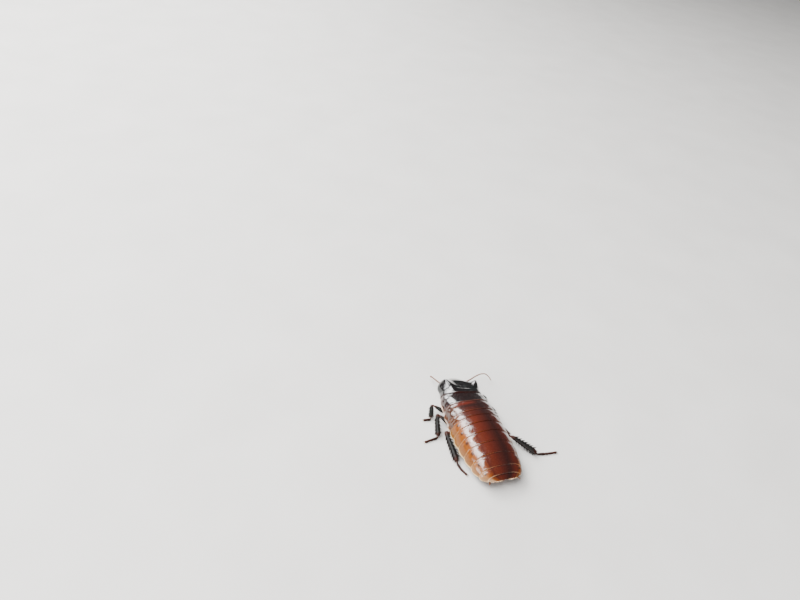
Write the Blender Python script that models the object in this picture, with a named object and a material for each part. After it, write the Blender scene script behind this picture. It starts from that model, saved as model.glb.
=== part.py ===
"""Madagascar hissing cockroach, a male, still and life-size.

The sizes are in millimetres and the mesh is made in metres, with the head towards +Y, the animal's right
side towards +X and the floor at z = 0. s is the distance back from the front edge of the pronotum.
"""
import bmesh
import bpy
import math
import random
from mathutils import Vector

MM = 0.001

# Body: how far back each plate ends, and where the body sits
NOSE_Y = 27.5
PRONOTUM_END = 11.4
PLATE_ENDS = {
    "mesothorax": 17.4,
    "metathorax": 23.2,
    "abdomen_1": 26.4,
    "abdomen_2": 30.4,
    "abdomen_3": 35.4,
    "abdomen_4": 40.5,
    "abdomen_5": 45.7,
    "abdomen_6": 50.8,
    "abdomen_7": 53.8,
}
TAIL_END = 56.0
GAP = 0.32
LIP = 0.5
TUCK = LIP + GAP
OVERHANG = 0.9
TAIL_BEND = 2.4
BEND_START = 20.0
BODY_SIDES = 36

# The body's outline as pairs of s and size: half width, then heights above the floor
HALF_WIDTH = [(0, 2.8), (0.6, 4.3), (1.6, 5.7), (3, 7.7), (4.6, 9.4), (6.2, 10.1), (8.6, 9.7), (13, 10.6),
              (17, 11.1), (22, 11.7), (27, 12.1), (34, 12.2), (40, 12.0), (45, 11.5), (49, 10.8), (52, 9.7),
              (54, 8.0), (55.2, 6.0), (56, 3.5)]
TOP_HEIGHT = [(0, 8.9), (3, 10.9), (8, 11.8), (13, 12.4), (20, 13.6), (28, 14.4), (36, 14.2), (44, 12.8),
              (50, 10.2), (53, 8.6), (56, 6.6)]
MARGIN_HEIGHT = [(0, 8.0), (3, 7.4), (8, 6.0), (13, 5.7), (20, 5.3), (28, 5.1), (36, 5.0), (50, 5.2), (56, 5.6)]
BELLY_HEIGHT = [(6, 5.3), (12, 5.1), (22, 5.1), (27, 4.8), (31, 3.7), (35, 2.8), (44, 2.8), (50, 3.6), (56, 4.6)]

# How far the sides of each plate lie behind its middle
SWEEP_BACK = [(0, 0.0), (6, -0.6), (11.4, -1.7), (17.4, -1.2), (23.2, -0.3), (27, 0.4), (56, 0.7)]

# How much the shield is turned towards the animal's right, and how much its right side is lowered
FRONT_TURN = [(0, 0.22), (6, 0.18), (11.4, 0.11), (17.4, 0.04), (24, 0.0)]
FRONT_ROLL = [(0, 0.09), (6, 0.08), (11.4, 0.04), (17.4, 0.0), (24, 0.0)]

# The two horns of the pronotum
HORN_X = 7.3
HORN_S = 4.7
HORN_HEIGHT = 2.1
HORN_SPREAD = 2.25

# Head and what it carries
HEAD_TOP = 9.4
HEAD_BOTTOM = 3.4
HEAD_HALF_WIDTH = 3.6
HEAD_HALF_DEPTH = 2.1
HEAD_S = 3.5
EYE_LIFT = 0.32
EYE_THICKNESS = 0.7

# The limbs: joint places on each leg, from the body to the claws
LEGS = {
    "fore_left": {
        "base": (-4.2, 18.0, 4.0), "hip": (-8.6, 11.9, 3.3), "knee": (-14.7, 16.5, 5.4),
        "ankle": (-16.3, 12.5, 1.5), "foot": [(-17.6, 12.4, 0.5), (-19.8, 12.6, 0.5)], "size": 0.85},
    "fore_right": {
        "base": (4.2, 18.0, 4.0), "hip": (7.8, 12.4, 3.3), "knee": (11.6, 18.0, 4.9),
        "ankle": (12.9, 14.6, 1.5), "foot": [(13.2, 16.8, 0.5), (13.5, 19.8, 0.5)], "size": 0.85},
    "mid_left": {
        "base": (-4.0, 12.6, 3.9), "hip": (-8.2, 3.9, 3.2), "knee": (-14.2, 10.7, 5.5),
        "ankle": (-16.6, 2.1, 1.5), "foot": [(-20.2, 1.2, 0.5), (-23.2, 0.7, 0.5)], "size": 1.0},
    "mid_right": {
        "base": (4.0, 12.6, 3.9), "hip": (7.2, 4.6, 3.2), "knee": (12.7, 10.4, 4.9),
        "ankle": (13.8, 2.4, 1.5), "foot": [(16.3, 0.6, 0.5), (17.7, -2.6, 0.5)], "size": 1.0},
    "hind_left": {
        "base": (-2.7, 5.0, 3.6), "hip": (-4.8, -3.2, 2.8), "knee": (-13.1, 1.6, 4.2),
        "ankle": (-13.0, -12.4, 1.5), "foot": [(-12.3, -16.0, 0.5), (-10.8, -19.2, 0.5)], "size": 1.15},
    "hind_right": {
        "base": (2.7, 5.0, 3.6), "hip": (7.9, -0.4, 2.6), "knee": (15.5, -7.0, 4.5),
        "ankle": (24.9, -15.8, 1.5), "foot": [(30.6, -16.7, 0.5), (35.2, -16.9, 0.5)], "size": 1.15},
}
COXA_WIDTH = 1.7
COXA_DEPTH = 1.05
FEMUR_WIDTH = 1.25
FEMUR_DEPTH = 1.0
TIBIA_RADIUS = 1.05
FOOT_RADIUS = 0.5
FOOT_HEIGHT = 0.45
LIMB_SIDES = 10

# The spines of the shins, and the claws
SPINE_ROWS = {"fore": 4, "mid": 5, "hind": 7}
SPINE_LENGTH = 1.5
SPINE_RADIUS = 0.3
SPINE_LEAN = 0.85
SPINE_SPREAD = 0.95
CLAW_LENGTH = 0.95
CLAW_RADIUS = 0.2
SEED = 11

# Feelers, palps and cerci as routes through a few places
ANTENNA_LEFT = [(-1.9, 26.2, 6.6), (-3.7, 27.1, 5.8), (-6.2, 28.6, 5.3), (-8.4, 31.6, 5.6), (-9.4, 33.8, 5.4),
                (-8.9, 35.4, 3.6), (-7.8, 36.4, 1.6)]
ANTENNA_RIGHT = [(1.9, 26.2, 6.6), (3.8, 26.8, 5.8), (6.7, 27.6, 5.2), (9.4, 28.7, 5.0), (12.7, 30.1, 5.1),
                 (15.8, 30.9, 5.4), (18.4, 30.6, 5.4), (20.0, 29.2, 4.6), (20.9, 27.6, 3.4)]
ANTENNA_RADII = (0.42, 0.2)
PALP_LEFT = [(-1.9, 24.2, 3.0), (-2.9, 25.6, 2.4), (-3.0, 26.6, 1.6), (-2.4, 27.2, 0.9)]
PALP_RADII = (0.34, 0.28)
CERCUS_BASE = (5.6, -25.6, 3.9)
CERCUS_TIP = (7.4, -28.4, 4.7)
CERCUS_RADII = (0.6, 0.12)

# Colours of the parts
COLOURS = {
    "black_shell": (0.02, 0.018, 0.018),
    "brown_shell": (0.16, 0.045, 0.025),
    "tan_shell": (0.32, 0.14, 0.05),
    "leg_shell": (0.03, 0.022, 0.02),
    "eye": (0.01, 0.01, 0.012),
    "feeler": (0.12, 0.06, 0.03),
}


def material(name, slot):
    """One plain coat for one node."""
    coat = bpy.data.materials.new(name + "_" + slot)
    coat.use_nodes = True
    shader = coat.node_tree.nodes["Principled BSDF"]
    shader.inputs["Base Color"].default_value = (*COLOURS[slot], 1.0)
    shader.inputs["Roughness"].default_value = 0.3
    return coat


def add_node(name, vertices, faces, slot):
    """A mesh object in metres from points in millimetres."""
    mesh = bpy.data.meshes.new(name)
    mesh.from_pydata([tuple(Vector(vertex) * MM) for vertex in vertices], [], faces)
    mesh.update()
    node = bpy.data.objects.new(name, mesh)
    bpy.context.scene.collection.objects.link(node)
    mesh.materials.append(material(name, slot))
    return node


def value(table, s):
    """A smooth curve through the pairs of a table."""
    if s <= table[0][0]:
        return table[0][1]
    if s >= table[-1][0]:
        return table[-1][1]
    count = len(table)
    slopes = []
    for i in range(count):
        before = table[max(i - 1, 0)]
        after = table[min(i + 1, count - 1)]
        slopes.append((after[1] - before[1]) / (after[0] - before[0]))
    for i in range(count - 1):
        s0, v0 = table[i]
        s1, v1 = table[i + 1]
        if s <= s1:
            span = s1 - s0
            t = (s - s0) / span
            return ((2 * t**3 - 3 * t**2 + 1) * v0 + (t**3 - 2 * t**2 + t) * span * slopes[i]
                    + (3 * t**2 - 2 * t**3) * v1 + (t**3 - t**2) * span * slopes[i + 1])


def bend(s):
    """How far the tail end curves towards the animal's right."""
    return TAIL_BEND * (max(s - BEND_START, 0.0) / (TAIL_END - BEND_START)) ** 2


def section_point(s, angle, inset, belly_inset):
    """One point of the body's cross-section, angle 0 at the right edge and a quarter turn on top."""
    width = value(HALF_WIDTH, s)
    top = value(TOP_HEIGHT, s) - inset
    margin = value(MARGIN_HEIGHT, s) + belly_inset
    belly = value(BELLY_HEIGHT, s) + belly_inset
    c = math.cos(angle)
    q = math.sin(angle)
    across = math.copysign(abs(c) ** 0.9, c)
    if q >= 0:
        height = margin + (top - margin) * q ** 0.85
    else:
        height = margin - (margin - belly) * (-q) ** 2.2
    x = across * (width - inset)
    back = value(SWEEP_BACK, s) * across ** 2 + value(FRONT_TURN, s) * x
    height -= value(FRONT_ROLL, s) * x
    return Vector((x + bend(s), NOSE_Y - s - back, height))


def section(s, inset=0.0, belly_inset=None):
    """A closed ring of the body."""
    under = inset if belly_inset is None else belly_inset
    return [section_point(s, 2 * math.pi * i / BODY_SIDES, inset, under) for i in range(BODY_SIDES)]


def skin_rings(rings):
    """Vertices and faces of a closed form that runs through rings of equal count."""
    sides = len(rings[0])
    vertices = [point for ring in rings for point in ring]
    faces = []
    for row in range(len(rings) - 1):
        for i in range(sides):
            j = (i + 1) % sides
            low = row * sides
            high = low + sides
            faces.append((low + i, low + j, high + j, high + i))
    for row, flip in ((0, True), (len(rings) - 1, False)):
        centre = sum((Vector(point) for point in rings[row]), Vector()) / sides
        vertices.append(centre)
        hub = len(vertices) - 1
        for i in range(sides):
            j = (i + 1) % sides
            pair = (row * sides + j, row * sides + i) if flip else (row * sides + i, row * sides + j)
            faces.append((*pair, hub))
    return vertices, faces


def body_segment(name, start, end, slot):
    """One ring of the trunk: its front is tucked under the plate before it, its rear lip covers the next."""
    span = end - start
    rings = [
        section(start - OVERHANG + GAP, TUCK),
        section(start + 0.1 * span, TUCK),
        section(start + 0.4 * span, 0.5 * TUCK),
        section(start + 0.75 * span, 0.1 * TUCK),
        section(end, 0.0),
        section(end, LIP),
        section(end - OVERHANG, LIP),
    ]
    add_node(name, *skin_rings(rings), slot)


def trunk():
    """The thorax behind the pronotum and the seven rings of the abdomen."""
    start = PRONOTUM_END
    for name, end in PLATE_ENDS.items():
        slot = "brown_shell" if name.startswith("abdomen") else "black_shell"
        body_segment(name, start, end, slot)
        start = end


def abdomen_end():
    """The last plates, above and below, as one blunt form."""
    start = PLATE_ENDS["abdomen_7"]
    span = TAIL_END - start
    rings = [
        section(start - OVERHANG + GAP, TUCK),
        section(start + 0.05 * span, TUCK),
        section(start + 0.4 * span, 0.6, 0.45),
        section(start + 0.75 * span, 0.4, 0.15),
        section(TAIL_END, 0.6, 0.0),
    ]
    add_node("abdomen_end", *skin_rings(rings), "brown_shell")


def prothorax():
    """The body under the pronotum, which carries the head and the fore legs."""
    front = 6.4
    rear = PRONOTUM_END - OVERHANG
    rings = [
        section(front, 2.2, 0.2),
        section(front + 1.0, 1.1, 0.0),
        section(rear - 1.0, 1.0, 0.0),
        section(rear, 1.0, 0.2),
    ]
    add_node("prothorax", *skin_rings(rings), "tan_shell")


def horn_lift(point):
    """The bulge of the two horns, out, forward and up."""
    s = NOSE_Y - point.y
    for side in (-1, 1):
        away = ((point.x - side * HORN_X) / HORN_SPREAD) ** 2 + ((s - HORN_S) / HORN_SPREAD) ** 2
        rise = HORN_HEIGHT * math.exp(-away)
        point = point + Vector((0.35 * side * rise, 0.3 * rise, rise))
    return point


def pronotum():
    """The domed shield over the head, a plate with two horns."""
    stations = [0.0, 0.5, 1.2, 2.1, 3.0, 3.9, 4.8, 5.8, 7.0, 8.4, 10.0, PRONOTUM_END]
    steps = 26
    outer = []
    inner = []
    for s in stations:
        angles = [math.pi * i / steps for i in range(steps + 1)]
        outer.append([horn_lift(section_point(s, angle, 0.0, 0.0)) for angle in angles])
        within = min(max(s, 0.8), PRONOTUM_END)
        inner.append([section_point(within, angle, LIP, LIP) for angle in angles])
    width = steps + 1
    vertices = [point for row in outer + inner for point in row]
    shift = len(stations) * width
    faces = []
    for row in range(len(stations) - 1):
        for i in range(steps):
            a = row * width + i
            b = a + width
            faces.append((a, a + 1, b + 1, b))
            faces.append((shift + a, shift + b, shift + b + 1, shift + a + 1))
        for i, flip in ((0, False), (steps, True)):
            a = row * width + i
            b = a + width
            side = (a, b, shift + b, shift + a)
            faces.append(tuple(reversed(side)) if flip else side)
    for row, flip in ((0, True), (len(stations) - 1, False)):
        for i in range(steps):
            a = row * width + i
            end = (a, a + 1, shift + a + 1, shift + a)
            faces.append(tuple(reversed(end)) if flip else end)
    add_node("pronotum", vertices, faces, "black_shell")


def head_point(level, angle, lift=0.0):
    """A point of the head: level 0 at the crown and 1 at the mouth, angle 0 at the right and 90 in front."""
    shape = [(0, 0.0), (0.04, 0.3), (0.15, 0.72), (0.3, 0.95), (0.45, 1.0), (0.65, 0.85), (0.85, 0.58), (1, 0.36)]
    size = value(shape, level)
    height = HEAD_TOP + (HEAD_BOTTOM - HEAD_TOP) * level
    middle = NOSE_Y - HEAD_S - 0.5 * level
    x = (HEAD_HALF_WIDTH * size + lift) * math.cos(angle)
    y = middle + (HEAD_HALF_DEPTH * size + lift) * math.sin(angle)
    return Vector((x, y, height))


def head():
    """The head, which hangs under the shield with its face forward."""
    sides = 24
    levels = [0.02, 0.06, 0.14, 0.24, 0.35, 0.46, 0.58, 0.7, 0.82, 0.92, 1.0]
    rings = [[head_point(level, -2 * math.pi * i / sides) for i in range(sides)] for level in levels]
    add_node("head", *skin_rings(rings), "black_shell")
    jaw = []
    for height, width, depth in ((3.05, 1.3, 0.85), (2.6, 1.45, 0.9), (2.0, 1.2, 0.75), (1.6, 0.8, 0.5)):
        middle = NOSE_Y - HEAD_S - 0.55
        jaw.append([Vector((width * math.cos(-2 * math.pi * i / 16), middle + depth * math.sin(-2 * math.pi * i / 16),
                            height)) for i in range(16)])
    add_node("mouthparts", *skin_rings(jaw), "leg_shell")


def eyes():
    """A kidney-shaped eye on each side of the head."""
    sides = 18
    for name, side in (("eye_left", -1), ("eye_right", 1)):
        rings = []
        for size, lift in ((0.9, 0.0), (1.0, 0.2), (0.9, 0.75), (0.55, 1.0)):
            ring = []
            for i in range(sides):
                turn = 2 * math.pi * i / sides
                level = 0.36 + 0.17 * size * math.sin(turn)
                around = math.radians(24 + 26 * size * math.cos(turn) + 10 * math.sin(turn) ** 2)
                angle = around if side > 0 else math.pi - around
                ring.append(head_point(level, angle, EYE_LIFT + EYE_THICKNESS * lift))
            if side > 0:
                ring.reverse()
            rings.append(ring)
        add_node(name, *skin_rings(rings), "eye")


def smooth_route(places, count):
    """Evenly stepped points on a smooth curve through a few places."""
    reach = [0.0]
    for before, after in zip(places, places[1:]):
        reach.append(reach[-1] + (Vector(after) - Vector(before)).length)
    tables = [[(distance, place[axis]) for distance, place in zip(reach, places)] for axis in range(3)]
    steps = [reach[-1] * i / (count - 1) for i in range(count)]
    return [Vector([value(table, step) for table in tables]) for step in steps]


def limb(name, points, widths, depths, slot, sides=LIMB_SIDES, floor=None):
    """A closed limb along points, flattened sideways or from above by its widths and depths.

    The cross direction is carried along from ring to ring, so that no ring twists against the next.
    """
    rings = []
    count = len(points)
    across = (points[count // 2] - points[0]).cross(Vector((0, 0, 1)))
    for i, point in enumerate(points):
        along = (points[min(i + 1, count - 1)] - points[max(i - 1, 0)]).normalized()
        across = (across - along * across.dot(along)).normalized()
        over = across.cross(along)
        ring = []
        for k in range(sides):
            turn = 2 * math.pi * k / sides
            spot = point + across * widths[i] * math.cos(turn) + over * depths[i] * math.sin(turn)
            if floor is not None:
                spot.z = max(spot.z, floor)
            ring.append(spot)
        rings.append(ring)
    vertices, faces = skin_rings(rings)
    return add_node(name, vertices, [tuple(reversed(face)) for face in faces], slot)


def taper(profile, size):
    return [size * share for share in profile]


def straight(start, end, count):
    return [start.lerp(end, i / (count - 1)) for i in range(count)]


def thorn(root, tip, radius):
    """A closed four-sided spine in metres, which tapers from its root to its tip."""
    along = (tip - root).normalized()
    across = along.orthogonal().normalized()
    over = along.cross(across)
    rings = []
    for share, size in ((0.0, 1.0), (0.55, 0.62), (1.0, 0.12)):
        centre = root.lerp(tip, share)
        ring = []
        for k in range(4):
            turn = math.pi / 2 * k
            ring.append(centre + (across * math.cos(turn) + over * math.sin(turn)) * radius * size)
        rings.append(ring)
    vertices = [tuple(point * MM) for ring in rings for point in ring]
    faces = [(3, 2, 1, 0), (8, 9, 10, 11)]
    for row in (0, 4):
        for k in range(4):
            j = (k + 1) % 4
            faces.append((row + k, row + j, row + 4 + j, row + 4 + k))
    mesh = bpy.data.meshes.new("thorn")
    mesh.from_pydata(vertices, [], faces)
    return bpy.data.objects.new("thorn", mesh)


def keep_largest(mesh):
    """Leaves only the largest closed surface of a mesh."""
    work = bmesh.new()
    work.from_mesh(mesh)
    waiting = set(work.faces)
    surfaces = []
    while waiting:
        surface = {waiting.pop()}
        front = list(surface)
        while front:
            for edge in front.pop().edges:
                for face in edge.link_faces:
                    if face in waiting:
                        waiting.discard(face)
                        surface.add(face)
                        front.append(face)
        surfaces.append(surface)
    surfaces.sort(key=len)
    for surface in surfaces[:-1]:
        bmesh.ops.delete(work, geom=list(surface), context="FACES")
    work.to_mesh(mesh)
    work.free()


def join_thorns(node, thorns):
    """Fuses thorns to their node in one union, applies it and removes them."""
    group = bpy.data.collections.new(node.name + "_thorns")
    bpy.context.scene.collection.children.link(group)
    for piece in thorns:
        group.objects.link(piece)
    union = node.modifiers.new("union", "BOOLEAN")
    union.operation = "UNION"
    union.operand_type = "COLLECTION"
    union.solver = "EXACT"
    union.collection = group
    bpy.context.view_layer.update()
    fused = bpy.data.meshes.new_from_object(node.evaluated_get(bpy.context.evaluated_depsgraph_get()))
    node.modifiers.clear()
    node.data = fused
    for piece in thorns:
        bpy.data.objects.remove(piece)
    bpy.data.collections.remove(group)
    keep_largest(fused)


def shin_spines(points, radii, size, rows, chance):
    """Two rows of spines along the upper sides of a shin, leaning towards the foot."""
    thorns = []
    for side in (-1, 1):
        for row in range(rows):
            share = 0.14 + 0.78 * (row + (0.5 if side > 0 else 0.2)) / rows
            where = share * (len(points) - 1)
            i = int(where)
            point = points[i].lerp(points[i + 1], where - i)
            along = (points[i + 1] - points[i]).normalized()
            across = along.cross(Vector((0, 0, 1))).normalized()
            over = across.cross(along)
            out = (across * side * SPINE_SPREAD + over * 0.6).normalized()
            root = point + out * radii[i] * 0.3
            reach = SPINE_LENGTH * size * chance.uniform(0.85, 1.1)
            tip = point + out * (radii[i] + 0.62 * reach) + along * SPINE_LEAN * reach
            thorns.append(thorn(root, tip, SPINE_RADIUS))
    return thorns


def claws(points):
    """The two claws at the end of a foot."""
    end = points[-1]
    along = (end - points[-3]).normalized()
    across = along.cross(Vector((0, 0, 1))).normalized()
    pair = []
    for side in (-1, 1):
        tip = end + along * CLAW_LENGTH + across * side * 0.5 * CLAW_LENGTH
        tip.z = 0.15
        root = end - along * 0.3
        root.z = 0.42
        pair.append(thorn(root, tip, CLAW_RADIUS))
    return pair


def leg(name, places):
    """Coxa, femur, tibia and tarsus of one leg, each a node of its own."""
    size = places["size"]
    base = Vector(places["base"])
    hip = Vector(places["hip"])
    knee = Vector(places["knee"])
    ankle = Vector(places["ankle"])
    thigh = (knee - hip).normalized()
    shin = (ankle - knee).normalized()
    inward = (hip - base).normalized()
    chance = random.Random(SEED + sum(map(ord, name)))

    coxa_shape = [0.55, 0.9, 1.0, 0.95, 0.8, 0.55, 0.34]
    points = straight(base, hip - inward * 0.6, len(coxa_shape))
    limb("coxa_" + name, points, taper(coxa_shape, COXA_WIDTH * size), taper(coxa_shape, COXA_DEPTH), "leg_shell")

    femur_shape = [0.28, 0.4, 0.68, 0.95, 1.0, 1.0, 0.9, 0.7, 0.36]
    start = hip + inward * 0.4 + thigh * 0.3
    points = smooth_route([start, hip + thigh * 2.4, knee - thigh * 1.05], len(femur_shape))
    limb("femur_" + name, points, taper(femur_shape, FEMUR_WIDTH * size), taper(femur_shape, FEMUR_DEPTH),
         "leg_shell")

    tibia_shape = [0.42, 0.7, 0.8, 0.84, 0.88, 0.92, 0.96, 1.0, 1.06, 1.06, 0.7]
    points = smooth_route([knee, knee + thigh * 0.5 + shin * 0.9, ankle - shin * 0.1], len(tibia_shape))
    radii = taper(tibia_shape, TIBIA_RADIUS * size)
    tibia = limb("tibia_" + name, points, radii, radii, "leg_shell")
    join_thorns(tibia, shin_spines(points, radii, size, SPINE_ROWS[name.split("_")[0]], chance))

    toes = [Vector(place) for place in places["foot"]]
    foot_shape = [0.7, 0.9, 0.95, 0.9, 0.85, 0.95, 0.85, 1.0, 0.85, 1.0, 0.8, 0.95, 0.6]
    heading = (toes[0] - ankle).normalized()
    start = ankle + shin * 0.35 + heading * 0.45
    start.z = FOOT_RADIUS + 0.1
    points = smooth_route([start, start.lerp(toes[0], 0.5), *toes], len(foot_shape))
    for point in points[2:]:
        point.z = FOOT_HEIGHT
    radii = taper(foot_shape, FOOT_RADIUS)
    tarsus = limb("tarsus_" + name, points, radii, radii, "leg_shell", 8, 0.0)
    join_thorns(tarsus, claws(points))


def feelers():
    """Two long antennae, two palps and two cerci."""
    for name, route in (("antenna_left", ANTENNA_LEFT), ("antenna_right", ANTENNA_RIGHT)):
        count = 34
        points = smooth_route(route, count)
        thick, thin = ANTENNA_RADII
        radii = [thick + (thin - thick) * i / (count - 1) for i in range(count)]
        limb(name, points, radii, radii, "feeler", 8)
    for name, side in (("palp_left", 1), ("palp_right", -1)):
        points = smooth_route([(side * x, y, z) for x, y, z in PALP_LEFT], 10)
        radii = [PALP_RADII[0] + (PALP_RADII[1] - PALP_RADII[0]) * i / 9 for i in range(10)]
        limb(name, points, radii, radii, "feeler", 8)
    for name, side in (("cercus_left", -1), ("cercus_right", 1)):
        base = Vector((side * CERCUS_BASE[0] + TAIL_BEND, *CERCUS_BASE[1:]))
        tip = Vector((side * CERCUS_TIP[0] + TAIL_BEND, *CERCUS_TIP[1:]))
        points = straight(base, tip, 6)
        thick, thin = CERCUS_RADII
        radii = [0.5 * thick] + [thick + (thin - thick) * i / 5 for i in range(1, 6)]
        limb(name, points, radii, radii, "feeler", 8)


def centre_on_origin():
    """Moves every mesh so that the origin is the middle of the underside of the whole box."""
    nodes = [node for node in bpy.data.objects if node.type == "MESH"]
    corners = [vertex.co for node in nodes for vertex in node.data.vertices]
    low = [min(corner[axis] for corner in corners) for axis in range(3)]
    high = [max(corner[axis] for corner in corners) for axis in range(3)]
    shift = Vector((-(low[0] + high[0]) / 2, -(low[1] + high[1]) / 2, -low[2]))
    for node in nodes:
        for vertex in node.data.vertices:
            vertex.co += shift


def main():
    for node in list(bpy.data.objects):
        bpy.data.objects.remove(node)
    pronotum()
    prothorax()
    head()
    eyes()
    trunk()
    abdomen_end()
    for name, places in LEGS.items():
        leg(name, places)
    feelers()
    centre_on_origin()


main()
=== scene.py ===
"""Looks of the Madagascar hissing cockroach: plates, skin, limbs, head, floor, light and camera.

Shapes are worked out in millimetres in the body's own frame, s being the distance back from the front edge
of the pronotum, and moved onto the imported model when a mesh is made. Angles round the trunk start at its right
edge and have its top at a quarter turn.
"""
import math
import random

import bpy
import numpy as np
from mathutils import Matrix, Vector


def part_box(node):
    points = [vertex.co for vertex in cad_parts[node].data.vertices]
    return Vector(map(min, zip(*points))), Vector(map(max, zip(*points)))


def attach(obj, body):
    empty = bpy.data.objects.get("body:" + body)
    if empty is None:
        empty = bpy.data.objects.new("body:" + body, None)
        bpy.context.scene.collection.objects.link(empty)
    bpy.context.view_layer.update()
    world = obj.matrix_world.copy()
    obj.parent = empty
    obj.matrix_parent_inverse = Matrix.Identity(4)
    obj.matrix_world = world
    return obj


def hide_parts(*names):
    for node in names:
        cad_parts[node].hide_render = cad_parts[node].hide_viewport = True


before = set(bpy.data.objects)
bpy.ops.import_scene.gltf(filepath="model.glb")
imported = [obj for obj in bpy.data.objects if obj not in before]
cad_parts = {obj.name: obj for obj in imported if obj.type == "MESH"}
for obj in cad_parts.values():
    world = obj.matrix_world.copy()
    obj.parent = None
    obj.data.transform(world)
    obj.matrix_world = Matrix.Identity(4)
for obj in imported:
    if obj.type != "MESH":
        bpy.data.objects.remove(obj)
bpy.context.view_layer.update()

MM = 0.001
IMAGE_WIDTH = 800
IMAGE_HEIGHT = 600
SIDES = {"left": -1, "right": 1}

# The trunk, as in the solids: outline by pairs of s and size
NOSE_Y = 27.5
TAIL_END = 56.0
PRONOTUM_END = 11.4
PLATE_ENDS = [17.4, 23.2, 26.4, 30.4, 35.4, 40.5, 45.7, 50.8, 53.8]
PLATE_NODES = ["mesothorax", "metathorax"] + ["abdomen_%d" % i for i in range(1, 8)]
FIRST_BELLY_PLATE = 4
GAP = 0.32
OVERHANG = 0.9
TAIL_BEND = 2.4
BEND_START = 20.0
SQUARENESS = 0.9
HALF_WIDTH = [(0, 2.8), (0.6, 4.3), (1.6, 5.7), (3, 7.7), (4.6, 9.4), (6.2, 10.1), (8.6, 9.7), (13, 10.6),
              (17, 11.1), (22, 11.7), (27, 12.1), (34, 12.2), (40, 12.0), (45, 11.5), (49, 10.8), (52, 9.7),
              (54, 8.0), (55.2, 6.0), (56, 3.5)]
TOP_HEIGHT = [(0, 8.9), (3, 10.9), (8, 11.8), (13, 12.4), (20, 13.6), (28, 14.4), (36, 14.2), (44, 12.8),
              (50, 10.2), (53, 8.6), (56, 6.6)]
MARGIN_HEIGHT = [(0, 8.0), (3, 7.4), (8, 6.0), (13, 5.7), (20, 5.3), (28, 5.1), (36, 5.0), (50, 5.2), (56, 5.6)]
BELLY_HEIGHT = [(0, 6.0), (6, 5.3), (12, 5.1), (22, 5.1), (27, 4.8), (31, 3.7), (35, 2.8), (44, 2.8), (50, 3.6),
                (56, 4.6)]
SWEEP_BACK = [(0, 0.0), (6, -0.6), (11.4, -1.7), (17.4, -1.2), (23.2, -0.3), (27, 0.4), (56, 0.7)]
FRONT_TURN = [(0, 0.22), (6, 0.18), (11.4, 0.11), (17.4, 0.04), (24, 0.0)]
FRONT_ROLL = [(0, 0.09), (6, 0.08), (11.4, 0.04), (17.4, 0.0), (24, 0.0)]
TUCK = [(-0.3, 0.5), (0.0, 0.3), (0.1, 0.2), (0.45, 0.09), (0.75, 0.02), (1.0, 0.0)]
TAIL_TUCK = [(0, 0.8), (0.25, 0.62), (0.6, 0.42), (0.9, 0.36), (1.0, 0.42)]
HORN_X = {-1: 6.3, 1: 7.6}
HORN_S = 4.7
HORN_HEIGHT = 2.1
HORN_SPREAD = 2.25
HORN_BEHIND = {-1: 4.6, 1: 4.2}
HORN_INSIDE = {-1: 2.4, 1: 1.9}
CREST_TURN = {-1: 0.45, 1: 0.0}

# The plates: their depth, how far the first three look like the chest, and the marks that a few of them have.
# A chest plate has its middle, length and half its angle, a ring of a breathing hole its size and depth.
SHIELD_DEPTH = 0.42
PLATE_DEPTH = 0.34
EDGE_THINNING = 0.22
UNDERSIDE_DEPTH = 0.3
PLATE_FOLD = math.radians(24)
CHEST_LOOK = {1: 1.0, 2: 0.45, 3: 0.3}
SADDLED_PLATE = 2
PALE_EDGES = {8: 0.2, 9: 0.55}
SPOT_STRENGTH = 0.85
SCOOP_START = 50.5
CHEST_PLATES = [(10.6, 3.4, 22), (16.6, 4.2, 18), (23.6, 4.6, 18)]
SPIRACLE = [(0.42, 0.3), (0.4, 0.02), (0.3, 0.0), (0.2, 0.12), (0.1, 0.25)]

# The head: its shape by level and size, and the rings of its eyes by size and how far they stand out
HEAD_TOP = 9.4
HEAD_BOTTOM = 3.4
HEAD_HALF_WIDTH = 3.6
HEAD_HALF_DEPTH = 2.1
HEAD_S = 3.5
HEAD_SHAPE = [(0, 0.0), (0.04, 0.3), (0.15, 0.72), (0.3, 0.95), (0.45, 1.0), (0.65, 0.85), (0.85, 0.58),
              (1, 0.36)]
EYE_RINGS = [(1.06, -0.1), (1.05, 0.12), (1.0, 0.35), (0.92, 0.52), (0.8, 0.66), (0.65, 0.76), (0.45, 0.84),
             (0.25, 0.88), (0.05, 0.9)]
LIGHT_EYE_RINGS = [(1.0, 0.08), (0.8, 0.2), (0.5, 0.26), (0.1, 0.28)]

# The mouth, by places from the jaws' middle; a jaw also has its widths, its depths, the number of its rings and
# of the points in each, and how red it is
LIP = [(0, 1.0, 3.5), (0, 1.15, 2.8), (0, 1.05, 2.1), (0, 0.85, 1.75)]
JAWS = [
    ([(1.35, 0.3, 3.5), (1.5, 0.35, 2.7), (1.0, 0.4, 1.95), (0.25, 0.45, 1.75)],
     [0.5, 0.55, 0.45, 0.12], [0.55, 0.6, 0.4, 0.12], 30, 18, 0.2),
    ([(0.9, -0.5, 3.5), (1.15, -0.5, 2.6), (0.5, -0.2, 1.8)],
     [0.4, 0.4, 0.15], [0.35, 0.35, 0.15], 24, 16, 0.8),
]
LIP_FEELER = [(0.6, -0.6, 2.5), (0.9, 0.1, 1.5), (0.8, 0.9, 1.1)]

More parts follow.
